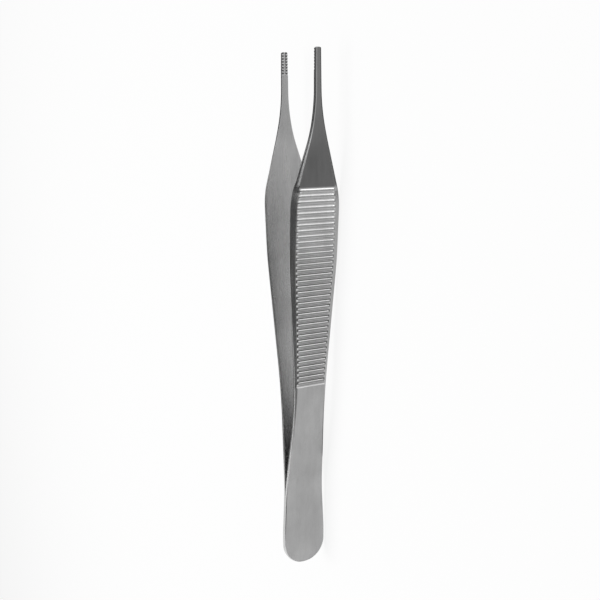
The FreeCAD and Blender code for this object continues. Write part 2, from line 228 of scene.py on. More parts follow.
class ForcepsArmSizes(bpy.types.PropertyGroup):
    """Sizes of one arm. All but the last three are those of the part's own sheet."""

    overall_length: length("Overall length", "Heel to tips", CAD_SIZE.x / MM)
    weld_bend_at: length("Weld bend at", "Heel to the corner where the arms part", 19.3)
    weld_bend_radius: length("Weld bend radius", "Bend that parts the arms", 50.0)
    grip_bend_at: length("Grip bend at", "Heel to the corner between spring and grip", 42.5)
    grip_bend_half_gap: length("Grip bend half gap", "Half gap at that corner", 3.12)
    grip_bend_radius: length("Grip bend radius", "Bend between spring and grip", 240.0)
    shoulder_bend_at: length("Shoulder bend at", "Heel to the corner between grip and tip", 102.0)
    shoulder_bend_half_gap: length("Shoulder bend half gap", "Half gap at that corner", 7.46)
    shoulder_bend_radius: length("Shoulder bend radius", "Bend between grip and tip", 60.0)
    tip_half_gap: length("Tip half gap", "Half of the opening between the tips", 7.36)
    heel_thickness: length("Heel thickness", "One arm at the weld", 0.65)
    grip_thickness: length("Grip thickness", "One arm over its ridges", 1.0)
    shoulder_thickness: length("Shoulder thickness", "One arm at the shoulder", 0.8)
    tip_thickness: length("Tip thickness", "One arm at its tip", 0.85)
    heel_end_width: length("Heel end width", "Heel at its end, before it is rounded", 10.4)
    heel_end_radius: length("Heel end radius", "Round of the heel's end", 5.1)
    heel_side_at: length("Heel side at", "End to the widest part of the heel", 8.0)
    heel_width: length("Heel width", "Heel at its widest", 10.66)
    heel_side_radius: length("Heel side radius", "Sweep of the heel's side", 60.0)
    waist_at: length("Waist at", "Heel to the waist", 42.0)
    waist_width: length("Waist width", "Corner of the waist", 7.44)
    waist_radius: length("Waist radius", "Sweep of the waist", 150.0)
    grip_widest_at: length("Grip widest at", "Heel to the start of the full grip width", 74.8)
    grip_width: length("Grip width", "Full width of the grip", CAD_SIZE.z / MM)
    grip_side_radius: length("Grip side radius", "Sweep into the full width", 100.0)
    shoulder_at: length("Shoulder at", "Heel to the corner where the shoulder tapers", 89.0)
    shoulder_radius: length("Shoulder radius", "Round of that corner", 20.0)
    shank_at: length("Shank at", "Heel to the corner between shoulder and shank", 105.5)
    shank_width: length("Shank width", "Shank at that corner", 1.7)
    shank_radius: length("Shank radius", "Sweep into the shank", 42.0)
    tip_width: length("Tip width", "Width of the tip", 1.4)
    tip_round: length("Tip round", "Round of the tip's corners in plan", 0.3)
    heel_bevel: length("Heel bevel", "Bevel of the outer edges along the heel", 0.15)
    grip_bevel: length("Grip bevel", "Bevel of the outer edges along the grip", 0.8)
    tip_bevel: length("Tip bevel", "Bevel of the outer edges along the tip", 0.25)
    grip_bevel_from: length("Grip bevel from", "Heel to the full grip bevel", 84.0)
    tip_bevel_from: length("Tip bevel from", "Heel to the start of the tip's bevel", 103.0)
    ridge_start: length("Ridge start", "Heel to the first groove", 46.0)
    ridge_pitch: length("Ridge pitch", "Groove to groove", 1.25)
    ridge_count: IntProperty(name="Ridge count", description="Grooves on each arm", default=36, min=1)
    ridge_depth: length("Ridge depth", "Depth of a groove", 0.22)
    groove_radius: length("Groove radius", "Round cutter of the grooves", 0.38)
    tooth_length: length("Tooth length", "Toothed length of each tip", 5.0)
    tooth_pitch: length("Tooth pitch", "Tooth to tooth", 0.62)
    tooth_depth: length("Tooth depth", "Depth of the notches", 0.2)
    channel_width: length("Channel width", "Plain channel between the rows of teeth", 0.45)
    channel_depth: length("Channel depth", "Depth of that channel", 0.25)
    edge_round: length("Edge round", "Round that tumbling leaves on every thin edge", 0.06)
    bar_end: length("Bar end", "Start of the bevel to the rounded end of a ridge, outwards", 0.16)
    bevel_blend: fraction("Bevel blend", "How softly the bevel runs into the outer face, as a share of its "
                          "width", 0.06)


class ForcepsFinish(bpy.types.PropertyGroup):
    """Finish of the steel, with greys that paint shade and highlights on it."""

    satin: tone("Satin steel", "Satin face of the heel, the spring and the ridges", 0.61)
    inner: tone("Inner steel", "Inner faces of both arms", 0.545)
    # The polished grey is painted shade on the shoulder and the tip; their lower roughness is real
    polished_shade: tone("Polished steel", "Smoother outer face of the shoulder and the tip", 0.22)
    # The notch grey is painted shade over the teeth, darkest in their notches
    notch: tone("Notch steel", "Worn notches between the teeth", 0.14)
    groove: tone("Groove steel", "Bottom of the grooves between the ridges", 0.62)
    # The crest grey is painted shade on the ridges' middles, the lip grey a painted highlight along their
    # edges, and the flank grey painted shade on the lower grooves' walls
    crest: tone("Crest steel", "Middle of the ridges' crests", 0.37)
    lip: tone("Lip steel", "Edges of the ridges, rubbed bright", 0.9)
    flank: tone("Flank steel", "Dull walls of the lower grooves, on the side towards the heel", 0.1)
    satin_roughness: fraction("Satin roughness", "Roughness of the satin outer faces", 0.34)
    inner_roughness: fraction("Inner roughness", "Roughness of the inner faces", 0.26)
    bevel_roughness: fraction("Bevel roughness", "Roughness of the bevels and the side walls", 0.22)
    polished_roughness: fraction("Polished roughness", "Roughness of the shoulder and the tip", 0.2)
    brush_bump: fraction("Brush bump", "Strength of the fine lengthwise brush marks", 0.07)


class ForcepsStage(bpy.types.PropertyGroup):
    """Floor and light."""

    floor: tone("Floor", "Colour of the plain floor", 0.82)
    floor_glow: fraction("Floor glow", "How much of the floor's white is its own, without shadow", 0.84)
    world_light: FloatProperty(name="World light", description="Strength of the even light all round",
                               default=0.4, min=0.0)
    key_power: FloatProperty(name="Key power", description="Power of the large lamp overhead",
                             default=4.5, min=0.0, unit="POWER")


def in_mm(group):
    """The group's lengths in millimetres, and its counts and shares as they are, by name."""
    sizes = {}
    for name in group.__annotations__:
        value = getattr(group, name)
        sizes[name] = value if isinstance(value, int) or name == "bevel_blend" else value / MM
    return sizes


def rounded_path(corners, x):
    """Heights at x of straight runs between corners, with each corner replaced by the circle of its
    radius that touches both runs."""
    at = np.array([corner[0] for corner in corners])
    height = np.array([corner[1] for corner in corners])
    y = np.interp(x, at, height)
    slope = np.arctan2(np.diff(height), np.diff(at))
    for i in range(1, len(corners) - 1):
        radius = corners[i][2]
        turn = slope[i] - slope[i - 1]
        if not radius or abs(turn) < 1e-9:
            continue
        side = math.copysign(1.0, turn)
        reach = radius * math.tan(abs(turn) / 2)
        start = at[i] - reach * math.cos(slope[i - 1])
        end = at[i] + reach * math.cos(slope[i])
        centre_x = start - side * radius * math.sin(slope[i - 1])
        centre_y = height[i] - reach * math.sin(slope[i - 1]) + side * radius * math.cos(slope[i - 1])
        inside = (x > start) & (x < end)
        bow = centre_y - side * np.sqrt(np.maximum(radius ** 2 - (x - centre_x) ** 2, 0.0))
        y = np.where(inside, bow, y)
    return y


def smooth_step(low, high, x):
    """0 below low and 1 above high. Between them it is three times the square of the share of the way, less
    twice its cube."""
    s = np.clip((x - low) / (high - low), 0.0, 1.0)
    return s * s * (3 - 2 * s)


def soft_above(x, width):
    """The larger of x and zero, with the corner eased over the width: half of x, plus half of the root of the
    squares of x and of the width."""
    return 0.5 * (x + np.sqrt(x * x + width * width))


def inner_height(size, x):
    """Height of an arm's inner face above the plane of the weld, along straight runs with rounded bends."""
    corners = [(0.0, 0.0, 0.0), (size["weld_bend_at"], 0.0, size["weld_bend_radius"]),
               (size["grip_bend_at"], size["grip_bend_half_gap"], size["grip_bend_radius"]),
               (size["shoulder_bend_at"], size["shoulder_bend_half_gap"], size["shoulder_bend_radius"]),
               (size["overall_length"], size["tip_half_gap"], 0.0)]
    return rounded_path(corners, x)


def ridge_end(size):
    """Distance from the heel to the step at the end of the ridges: so many pitches past the first groove."""
    return size["ridge_start"] + size["ridge_pitch"] * size["ridge_count"]


def outer_height(size, x):
    """Height of an arm's outer face: the crests' line up to the last ridge, then a step down by a groove's
    depth, and the line of the shoulder and the tip."""
    end = ridge_end(size)
    grip = (size["grip_bend_at"], size["grip_bend_half_gap"])
    shoulder = (size["shoulder_bend_at"], size["shoulder_bend_half_gap"])
    crest = np.interp(end, [grip[0], shoulder[0]], [grip[1], shoulder[1]]) + size["grip_thickness"]
    back = [(0.0, size["heel_thickness"], 0.0),
            (size["weld_bend_at"], size["heel_thickness"], size["weld_bend_radius"]),
            (grip[0], grip[1] + size["grip_thickness"], size["grip_bend_radius"]), (end, crest, 0.0)]
    rise = crest - (grip[1] + size["grip_thickness"])
    slope = rise / (end - grip[0])
    back.append((size["overall_length"], crest + slope * (size["overall_length"] - end), 0.0))
    front = [(0.0, crest - size["ridge_depth"], 0.0), (end, crest - size["ridge_depth"], 0.0),
             (shoulder[0], shoulder[1] + size["shoulder_thickness"], size["shoulder_bend_radius"]),
             (size["overall_length"], size["tip_half_gap"] + size["tip_thickness"], 0.0)]
    step = x >= end
    return rounded_path(back, x) * (1 - step) + rounded_path(front, x) * step


def heel_axis(size):
    """Half width at which the heel's quarter circle has its centre, so that it touches the end and the
    side: it lies one radius in from both lines."""
    slope = math.atan2(size["heel_width"] / 2 - size["heel_end_width"] / 2, size["heel_side_at"])
    radius = size["heel_end_radius"]
    return size["heel_end_width"] / 2 + radius * math.tan(slope) - radius / math.cos(slope)


def half_width(size, x):
    """Half of the outline in plan: the side's rounded path, with a quarter circle at the heel's end and a
    small one at the tip's corners."""
    sides = [(0.0, size["heel_end_width"] / 2, 0.0),
             (size["heel_side_at"], size["heel_width"] / 2, size["heel_side_radius"]),
             (size["waist_at"], size["waist_width"] / 2, size["waist_radius"]),
             (size["grip_widest_at"], size["grip_width"] / 2, size["grip_side_radius"]),
             (size["shoulder_at"], size["grip_width"] / 2, size["shoulder_radius"]),
             (size["shank_at"], size["shank_width"] / 2, size["shank_radius"]),
             (size["overall_length"], size["tip_width"] / 2, 0.0)]
    side = rounded_path(sides, x)
    heel = size["heel_end_radius"]
    end = heel_axis(size) + np.sqrt(np.maximum(heel ** 2 - (heel - x) ** 2, 0.0))
    side = np.where(x < heel, np.minimum(side, end), side)
    tip = size["tip_round"]
    past = np.maximum(x - (size["overall_length"] - tip), 0.0)
    return side - (tip - np.sqrt(np.maximum(tip ** 2 - past ** 2, 0.0)))


def edge_distance(size, x, z):
    """Distance in plan from the arm's side: the gap to the outline times the cosine of the outline's slope,
    and inside the heel's round end the gap to its circle."""
    nudge = 0.02
    ahead = half_width(size, np.minimum(x + nudge, size["overall_length"] - size["tip_round"]))
    behind = half_width(size, np.minimum(x, size["overall_length"] - size["tip_round"] - nudge))
    lean = np.cos(np.arctan((ahead - behind) / nudge))
    straight = (half_width(size, x) - np.abs(z)) * lean
    heel = size["heel_end_radius"]
    across = np.maximum(np.abs(z) - heel_axis(size), 0.0)
    rounded = heel - np.hypot(heel - x, across)
    return np.maximum(np.where(x < heel, rounded, straight), 0.0)


def bevel_depth(size, x):
    """Depth of the outer edges' bevel: it grows smoothly from the heel to the grip, and falls to the tip."""
    depth = size["heel_bevel"] + (size["grip_bevel"] - size["heel_bevel"]) * smooth_step(
        size["weld_bend_at"], size["grip_bevel_from"], x)
    return depth + (size["tip_bevel"] - depth) * smooth_step(size["shoulder_at"], size["tip_bevel_from"], x)


def edge_height(size, x):
    """Height of the side's outer edge: a line without the ridges' step, less the bevel's depth."""
    line = [(0.0, size["heel_thickness"], 0.0),
            (size["weld_bend_at"], size["heel_thickness"], size["weld_bend_radius"]),
            (size["grip_bend_at"], size["grip_bend_half_gap"] + size["grip_thickness"],
             size["grip_bend_radius"]),
            (size["shoulder_bend_at"], size["shoulder_bend_half_gap"] + size["shoulder_thickness"],
             size["shoulder_bend_radius"]),
            (size["overall_length"], size["tip_half_gap"] + size["tip_thickness"], 0.0)]
    return rounded_path(line, x) - bevel_depth(size, x)


def in_grip(size, x):
    """1 along the ridges and 0 on both sides of them, with an eased change at each end."""
    start = size["ridge_start"]
    begun = smooth_step(start - GRIP_EASE, start + GRIP_EASE, x)
    return begun * smooth_step(0.0, GRIP_EASE, ridge_end(size) - x)


def bevel_fall(over, past):
    """Fall of the bevel, from 0 at the face to 1 at the edge, where `over` is the share of the bevel's width
    and `past` the distance beyond the ridges. It is one plane up to the ridges' end. Beyond it there are two
    facets: a shallow one as far as the fold, and then a steep one that reaches the same edge."""
    fold = FOLD_AT + FOLD_SHIFT * smooth_step(0.0, FOLD_SHIFT_LENGTH, past)
    steep = (1 - FIRST_FACET_SLOPE * fold) / (1 - fold)
    folded = FIRST_FACET_SLOPE * over + soft_above(over - fold, FOLD_BLEND) * (steep - FIRST_FACET_SLOPE)
    facets = smooth_step(-FACETS_EASE, FACETS_EASE, past)
    return over * (1 - facets) + folded * facets


def groove_arc(size, off):
    """Depth of a groove at a distance from its middle: the arc of the round cutter, eased at its edges."""
    radius = size["groove_radius"]
    arc = np.sqrt(np.maximum(radius ** 2 - off ** 2, 0.0)) - (radius - size["ridge_depth"])
    eased = soft_above(arc, GROOVE_BLEND * size["ridge_depth"])
    return np.where(off < GROOVE_REACH * size["ridge_pitch"], eased, 0.0)


def groove_depth(size, x, inside):
    """Depth of the face below the crests, where `inside` is the distance from the bevel's line. Every ridge
    is a bar with rounded ends: its height depends on the distance from its middle line. The first groove
    has no bar before it and runs straight out."""
    pitch = size["ridge_pitch"]
    bar = np.clip(np.floor((x - size["ridge_start"]) / pitch), 0, size["ridge_count"] - 1)
    middle = size["ridge_start"] + pitch * (bar + 0.5)
    short = np.maximum(pitch / 2 - size["bar_end"] - inside, 0.0)
    from_line = np.hypot(x - middle, short)
    depth = groove_arc(size, np.maximum(pitch / 2 - from_line, 0.0))
    first = groove_arc(size, np.abs(x - size["ridge_start"]))
    return np.where(x < size["ridge_start"], first, depth) * (x < ridge_end(size))


def edge_fall(distance, radius):
    """How far a face falls towards a rounded edge: a quarter circle of that radius."""
    near = np.clip(radius - distance, 0.0, radius)
    return radius - np.sqrt(np.maximum(radius ** 2 - near ** 2, 0.0))


def rounded_edges(size, away, to_tip):
    """How far a face falls towards its rounded side edges and its rounded end at the tip, together."""
    return edge_fall(away, size["edge_round"]) + edge_fall(to_tip, size["edge_round"])


def tooth_cut(size, x, z, shift):
    """Cut inside the tip: V notches as a triangle wave along it, or the plain channel where that is
    deeper."""
    start = size["overall_length"] - size["tooth_length"]
    turns = (x - start) / size["tooth_pitch"] - shift
    notch = size["tooth_depth"] * (1 - np.abs(2 * (turns % 1.0) - 1)) * (turns > 0)
    near, far = (size["channel_width"] * part for part in CHANNEL_SIDE)
    lane = 1 - smooth_step(near, far, np.abs(z))
    channel = size["channel_depth"] * lane * smooth_step(start - CHANNEL_EASE, start + CHANNEL_EASE, x)
    return np.maximum(notch, channel)


def stations(size):
    """Distances from the heel at which the arm is cut into sections: close where the form changes fast. At
    the round ends they crowd as a power of the share of the way."""
    heel = size["heel_end_radius"] * np.linspace(0, 1, HEEL_ROWS) ** HEEL_CROWDING
    first = size["ridge_start"] - size["ridge_pitch"] / 2
    spring = np.arange(size["heel_end_radius"] + 0.5, first, SPRING_ROW)
    centres = size["ridge_start"] + size["ridge_pitch"] * np.arange(size["ridge_count"])
    ridges = (centres[:, None] + size["ridge_pitch"] * np.array(GROOVE_ROWS)[None, :]).ravel()
    end = ridge_end(size)
    last = np.arange(centres[-1] + size["ridge_pitch"] / 2, end - 0.01, STEP_ROW)
    step = np.append(last, [end - STEP_GAP, end + STEP_GAP])
    start = size["overall_length"] - size["tooth_length"]
    shoulder = np.arange(end + 0.4, start - 0.3, SHOULDER_ROW)
    round_start = size["overall_length"] - size["tip_round"]
    teeth = np.arange(start - 0.1, round_start, size["tooth_pitch"] / ROWS_PER_TOOTH)
    tip = size["overall_length"] - size["tip_round"] * np.linspace(1, 0, TIP_ROWS) ** TIP_CROWDING
    return np.unique(np.concatenate([heel, spring, ridges, step, shoulder, teeth, tip]))


def outer_columns(half, bevel, radius):
    """Z of the columns across the outer face. They keep their distance from the edge, so that bevels and
    rounds stay fine at every width."""
    room = np.minimum(bevel, half / LEAST_BEVELS)
    rim = np.concatenate([radius * np.array([ROUND_COLUMNS]), room * np.array([BEVEL_COLUMNS])], axis=1)
    middle = (half - BEVEL_COLUMNS[-1] * room) * np.array([MIDDLE_COLUMNS])
    return np.concatenate([rim - half, -middle, (half - rim)[:, ::-1]], axis=1)


def inner_columns(half, radius):
    """Z of the columns back across the inner face, which keep to the edge in the same way."""
    rim = half - radius * np.array([ROUND_COLUMNS])
    side = np.concatenate([rim, half * np.array([INNER_COLUMNS])], axis=1)
    return np.concatenate([side, 0 * half, -side[:, ::-1]], axis=1)


def outer_marks(size, x, away, bevel, groove):
    """Marks of the outer face and its bevels, by the distance from the edge and from the nearest groove's
    middle. A lip, which carries a painted highlight, is a bell curve about its place. Those of a ridge stop
    at the bevel, and the painted shade of the crests and the groove walls fades towards the tips. The rim
    carries a painted highlight along the edge."""
    end = ridge_end(size)
    deep = np.clip(groove / size["ridge_depth"], 0.0, 1.0)
    pitches = (x - size["ridge_start"]) / size["ridge_pitch"]
    nearest = np.round(pitches)
    off = np.abs(pitches - nearest)
    lower = 1 - smooth_step(end - FADE_FROM, end - FADE_TO, x)
    ridged = (x > size["ridge_start"]) & (x < end) & (away > bevel)
    heel_side_shade = (pitches < nearest) & (pitches > 0.5) & ridged
    return {
        "outer": 1.0,
        "face": smooth_step(FACE_FROM, FACE_FULL, away / bevel),
        "groove": deep,
        "flank": smooth_step(FLANK_FROM, FLANK_FULL, deep) * heel_side_shade * lower,
        "lip": np.exp(-((off - LIP_AT) / LIP_WIDTH) ** 2) * ridged,
        "crest": smooth_step(CREST_FROM, CREST_FULL, off) * ridged * (LAST_CREST + (1 - LAST_CREST) * lower),
        "rim": np.exp(-away / OUTER_RIM),
    }


def inner_marks(size, to_tip, z, away, cut):
    """Marks of the inner face: its rim, which carries a painted highlight, fades inwards, and the teeth
    beside the channel are marked for painted shade more, the deeper their cut is."""
    beside_channel = np.abs(z) > size["channel_width"] / 2
    into_teeth = size["tooth_length"] + TOOTH_MARK_LEAD - to_tip
    toothed_shade = smooth_step(0.0, TOOTH_MARK_EASE, into_teeth) * beside_channel
    return {
        "inside": 1.0,
        "notch": toothed_shade * (TOOTH_CREST + (1 - TOOTH_CREST) * cut / size["tooth_depth"]),
        "rim": np.exp(-away / INNER_RIM),
    }


def arm_surface(size, tooth_shift):
    """One arm as a grid of points, with its marks. The first parameter runs from heel to tip, the second once
    round the section: across the outer face, down one side, back across the inner face and up the other
    side. The outer face falls by the grooves, the bevel and the rounded edges, and the inner face rises by
    the rounded edges and the teeth's cuts. Beside the ridges' ends the face lies as deep as the grooves,
    and the bevel falls from there to the edge."""
    x = stations(size)[:, None]
    to_tip = size["overall_length"] - x
    half = half_width(size, x)
    radius = np.minimum(size["edge_round"], MOST_ROUND * half)
    depth = outer_height(size, x) - edge_height(size, x)
    floor = groove_depth(size, x, -half)
    bevel = (depth - floor * (1 - in_grip(size, x))) / math.tan(math.radians(BEVEL_ANGLE))

    outer_z = outer_columns(half, bevel, radius)
    away = edge_distance(size, x, outer_z)
    groove = groove_depth(size, x, away - bevel)
    over = soft_above(1 - away / bevel, size["bevel_blend"])
    fall = groove + (depth - floor) * bevel_fall(over, x - ridge_end(size))
    outer_y = outer_height(size, x) - fall - rounded_edges(size, away, to_tip)

    inner_z = inner_columns(half, radius)
    inner_away = edge_distance(size, x, inner_z)
    cut = tooth_cut(size, x, inner_z, tooth_shift)
    inner_y = inner_height(size, x) + rounded_edges(size, inner_away, to_tip) + cut

    down = np.array([SIDE_COLUMNS])
    right_y = outer_y[:, -1:] + (inner_y[:, :1] - outer_y[:, -1:]) * down
    left_y = inner_y[:, -1:] + (outer_y[:, :1] - inner_y[:, -1:]) * down
    wall = half * np.ones_like(down)
    y = np.concatenate([outer_y, right_y, inner_y, left_y], axis=1)
    z = np.concatenate([outer_z, wall, inner_z, -wall], axis=1)
    grid = np.stack([np.broadcast_to(x, y.shape), y, z], axis=-1)

    marks = {name: np.zeros_like(y) for name in MARKS}
    inner_from = outer_z.shape[1] + len(SIDE_COLUMNS)
    for start, width, found in (
            (0, outer_z.shape[1], outer_marks(size, x, away, bevel, groove)),
            (inner_from, inner_z.shape[1], inner_marks(size, to_tip, inner_z, inner_away, cut))):
        for name, values in found.items():
            marks[name][:, start:start + width] = values
    return grid, marks


def closed_tube(grid):
    """Vertices and faces of a grid that is joined round its second parameter and closed at both ends by a
    fan to the middle of the end section."""
    rows, columns = grid.shape[:2]
    index = np.arange(rows * columns).reshape(rows, columns)
    after = np.roll(index, -1, axis=1)
    quads = np.stack([index[:-1], after[:-1], after[1:], index[1:]], axis=-1).reshape(-1, 4)
    ends = np.stack([grid[0].mean(axis=0), grid[-1].mean(axis=0)])
    first = np.full(columns, rows * columns)
    heel_fan = np.stack([first, after[0], index[0]], axis=-1)
    tip_fan = np.stack([first + 1, index[-1], after[-1]], axis=-1)
    vertices = np.concatenate([grid.reshape(-1, 3), ends])
    return vertices, quads.tolist() + heel_fan.tolist() + tip_fan.tolist()


def add_arm(name, node, size, side, tooth_shift, material):
    """One arm in its place: side 1 is the rear arm, and -1 the front arm, turned half a turn about X."""
    grid, marks = arm_surface(size, tooth_shift)
    vertices, faces = closed_tube(grid)
    placed = vertices * np.array([1.0, side, side])
    placed += np.array([-HEEL_TO_ORIGIN, 0.0, EDGE_TO_AXIS])
    mesh = bpy.data.meshes.new(name)
    mesh.from_pydata(placed * MM, [], faces)
    for mark, values in marks.items():
        layer = mesh.attributes.new(mark, "FLOAT", "POINT")
        ends = [values[0].mean(keepdims=True), values[-1].mean(keepdims=True)]
        layer.data.foreach_set("value", np.concatenate([values.ravel(), *ends]).astype(np.float32))
    mesh.polygons.foreach_set("use_smooth", np.ones(len(mesh.polygons), dtype=bool))
    mesh.set_sharp_from_angle(angle=math.radians(SHARP_ANGLE))
    mesh.materials.append(material)
    mesh.update()
    arm = bpy.data.objects.new(name, mesh)
    bpy.context.scene.collection.objects.link(arm)
    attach(arm, "root")
    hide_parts(node)


class NodeMaker:
    """Adds shader nodes one after another and links them."""

    def __init__(self, tree):
        self.tree = tree
        tree.nodes.clear()

    def add(self, kind, **settings):
        node = self.tree.nodes.new(kind)
        for name, value in settings.items():
            setattr(node, name, value)
        return node

    def link(self, source, target):
        self.tree.links.new(source, target)

    def feed(self, socket, value):
        """Link an output, or set a plain value."""
        if isinstance(value, bpy.types.NodeSocket):
            self.link(value, socket)
        else:
            socket.default_value = value

    def maths(self, operation, first, second):
        node = self.add("ShaderNodeMath", operation=operation)
        self.feed(node.inputs[0], first)
        self.feed(node.inputs[1], second)
        return node.outputs[0]

    def total(self, values):
        """The values added one after another."""
        result = values[0]
        for value in values[1:]:
            result = self.maths("ADD", result, value)
        return result

    def ramp(self, value, low, high, to_low=0.0, to_high=1.0):
        """Map a range of a value onto another, clamped and eased."""
        node = self.add("ShaderNodeMapRange", interpolation_type="SMOOTHSTEP")
        for socket, number in zip(node.inputs[:5], (value, low, high, to_low, to_high)):
            self.feed(socket, number)
        return node.outputs[0]

    def wave(self, noise, amount):
        """A noise that swings between minus and plus the amount."""
        return self.ramp(noise, *NOISE_RANGE, -amount, amount)

    def mix(self, factor, first, second):
        """Mix two colours."""
        node = self.add("ShaderNodeMix", data_type="RGBA")
        self.feed(node.inputs["Factor"], factor)
        self.feed(node.inputs[6], first)
        self.feed(node.inputs[7], second)
        return node.outputs[2]

    def blend(self, factor, first, second):
        """Mix two shaders."""
        node = self.add("ShaderNodeMixShader")
        for socket, source in zip(node.inputs, (factor, first, second)):
            self.link(source, socket)
        return node.outputs["Shader"]

    def emission(self, strength):
        node = self.add("ShaderNodeEmission")
        self.feed(node.inputs["Strength"], strength)
        return node.outputs["Emission"]

    def surface(self, shader, kind="ShaderNodeOutputMaterial"):
        """Put a shader on the surface of the material or the world."""
        self.link(shader, self.add(kind).inputs["Surface"])

    def place(self):
        """Object coordinates, in metres."""
        return self.add("ShaderNodeTexCoord").outputs["Object"]

    def along(self):
        """The object coordinate from heel to tips."""
        node = self.add("ShaderNodeSeparateXYZ")
        self.link(self.place(), node.inputs["Vector"])
        return node.outputs["X"]

    def noise(self, waves, detail, roughness, turn=(0.0, 0.0, 0.0)):
        """Noise with so many waves per millimetre along X, Y and Z, turned about the three axes."""
        stretch = self.add("ShaderNodeMapping")
        self.link(self.place(), stretch.inputs["Vector"])
        stretch.inputs["Scale"].default_value = [part / MM for part in waves]
        stretch.inputs["Rotation"].default_value = turn
        node = self.add("ShaderNodeTexNoise")
        self.link(stretch.outputs["Vector"], node.inputs["Vector"])
        for name, value in (("Scale", 1.0), ("Detail", detail), ("Roughness", roughness)):
            node.inputs[name].default_value = value
        return node.outputs["Fac"]

    def attribute(self, name):
        return self.add("ShaderNodeAttribute", attribute_name=name).outputs["Fac"]


def solid(colour):
    """A colour with full alpha."""
    return (*colour, 1.0)


def new_material(name):
    material = bpy.data.materials.new(name)
    material.use_nodes = True
    return material, NodeMaker(material.node_tree)


def steel_colour(make, finish, marks, smooth_and_shaded):
    """The face's greys laid over each other by their marks. The crest, lip, flank, shoulder and notch greys
    are painted shade and highlights.
    """
    colour = make.mix(marks["outer"], solid(finish.inner), solid(finish.satin))
    for mask, grey in ((make.ramp(marks["groove"], *GROOVE_RANGE), finish.groove),
                       (marks["crest"], finish.crest), (marks["lip"], finish.lip),
                       (marks["flank"], finish.flank), (smooth_and_shaded, finish.polished_shade),
                       (marks["notch"], finish.notch)):
        colour = make.mix(mask, colour, solid(grey))
    return colour


def steel_material(finish):
    """Ground steel with fine lengthwise brush marks, cloudy changes of tone, painted highlights on the
    ridges' edges and painted shade on their middles and lower groove walls, painted highlights along the
    rims, painted shade over the teeth, painted light on the inner faces towards the heel, and a smoother
    shoulder and shank on the outside with painted shade that lightens towards the tips. The changes of tone
    are added up, and the sum is a share by which the colour is scaled."""
    material, make = new_material("satin_ground_steel")
    marks = {name: make.attribute(name) for name in MARKS}
    x = make.along()
    shoulder = make.maths("MULTIPLY", make.ramp(x, *SHOULDER_X), marks["face"])
    shank = make.maths("MULTIPLY", make.ramp(x, *SHANK_X), marks["outer"])
    smooth_and_shaded = make.maths("MAXIMUM", shoulder, shank)
    clouds, brush = make.noise(*CLOUDS), make.noise(*BRUSH)
    streaks, scratches = make.noise(*STREAKS), make.noise(*SCRATCHES)

    scale = make.add("ShaderNodeVectorMath", operation="SCALE")
    make.link(steel_colour(make, finish, marks, smooth_and_shaded), scale.inputs[0])
    make.link(make.total([make.wave(clouds, CLOUD_TONE), make.wave(streaks, STREAK_TONE),
                          make.wave(brush, BRUSH_TONE), make.ramp(marks["rim"], *RIM_RANGE, 0.0, RIM_HIGHLIGHT),
                          make.maths("MULTIPLY", smooth_and_shaded, make.ramp(x, *SMOOTH_PAINTED_SHADE)),
                          make.maths("MULTIPLY", marks["inside"], make.ramp(x, *INSIDE_PAINTED_LIGHT)), 1.0]),
              scale.inputs["Scale"])

    rough = make.total([
        make.ramp(marks["face"], 0.0, 1.0, finish.bevel_roughness, finish.satin_roughness),
        make.maths("MULTIPLY", marks["inside"], finish.inner_roughness - finish.bevel_roughness),
        make.maths("MULTIPLY", smooth_and_shaded, finish.polished_roughness - finish.satin_roughness),
        make.wave(streaks, STREAK_ROUGHNESS),
        make.ramp(scratches, *SCRATCH_LEVEL, 0.0, SCRATCH_ROUGHNESS)])

    bump = make.add("ShaderNodeBump")
    bump.inputs["Strength"].default_value = finish.brush_bump
    bump.inputs["Distance"].default_value = BUMP_DISTANCE * MM
    sunk = make.maths("MULTIPLY", make.ramp(scratches, *SCRATCH_BUMP_LEVEL), SCRATCH_BUMP)
    make.link(make.maths("ADD", brush, sunk), bump.inputs["Height"])

    tangent = make.add("ShaderNodeTangent", direction_type="RADIAL", axis="X")
    shader = make.add("ShaderNodeBsdfPrincipled")
    make.link(scale.outputs[0], shader.inputs["Base Color"])
    make.link(rough, shader.inputs["Roughness"])
    make.link(bump.outputs["Normal"], shader.inputs["Normal"])
    make.link(tangent.outputs["Tangent"], shader.inputs["Tangent"])
    shader.inputs["Metallic"].default_value = 1.0
    shader.inputs["Anisotropic"].default_value = ANISOTROPY
    make.surface(shader.outputs["BSDF"])
    return material


def seen_directly(make):
    """1 for rays from the camera, and for mirror and glass rays, and 0 for the rays that carry the light."""
    path = make.add("ShaderNodeLightPath")
    seen = make.maths("MAXIMUM", path.outputs["Is Camera Ray"], path.outputs["Is Glossy Ray"])
    return make.maths("MAXIMUM", seen, path.outputs["Is Transmission Ray"])


def floor_material(stage):
    """Pale floor, mostly white by itself where it is seen, with the rest lit, so that it keeps a shadow."""
    material, make = new_material("pale_floor")
    lit = make.add("ShaderNodeBsdfDiffuse")
    lit.inputs["Color"].default_value = solid(stage.floor)
    glow = make.maths("MULTIPLY", seen_directly(make), stage.floor_glow)
    make.surface(make.blend(glow, lit.outputs["BSDF"], make.emission(1.0)))
    return material


def card_material(name, level):
    """Card that shows in the steel as an even grey, or as a bright panel above 1. Four numbers give its
    levels towards the heel and the tips, and the X where each is reached."""
    material, make = new_material(name)
    material.cycles.emission_sampling = "NONE"
    if isinstance(level, tuple):
        heel_level, tip_level, heel_x, tip_x = level
        level = make.ramp(make.along(), heel_x, tip_x, heel_level, tip_level)
    make.surface(make.emission(level))
    return material


def facing(place, towards):
    """Matrix of a lamp or a card that stands at a place and looks at another."""
    turn = (Vector(towards) - Vector(place)).to_track_quat("-Z", "Y").to_matrix().to_4x4()
    return Matrix.Translation(place) @ turn


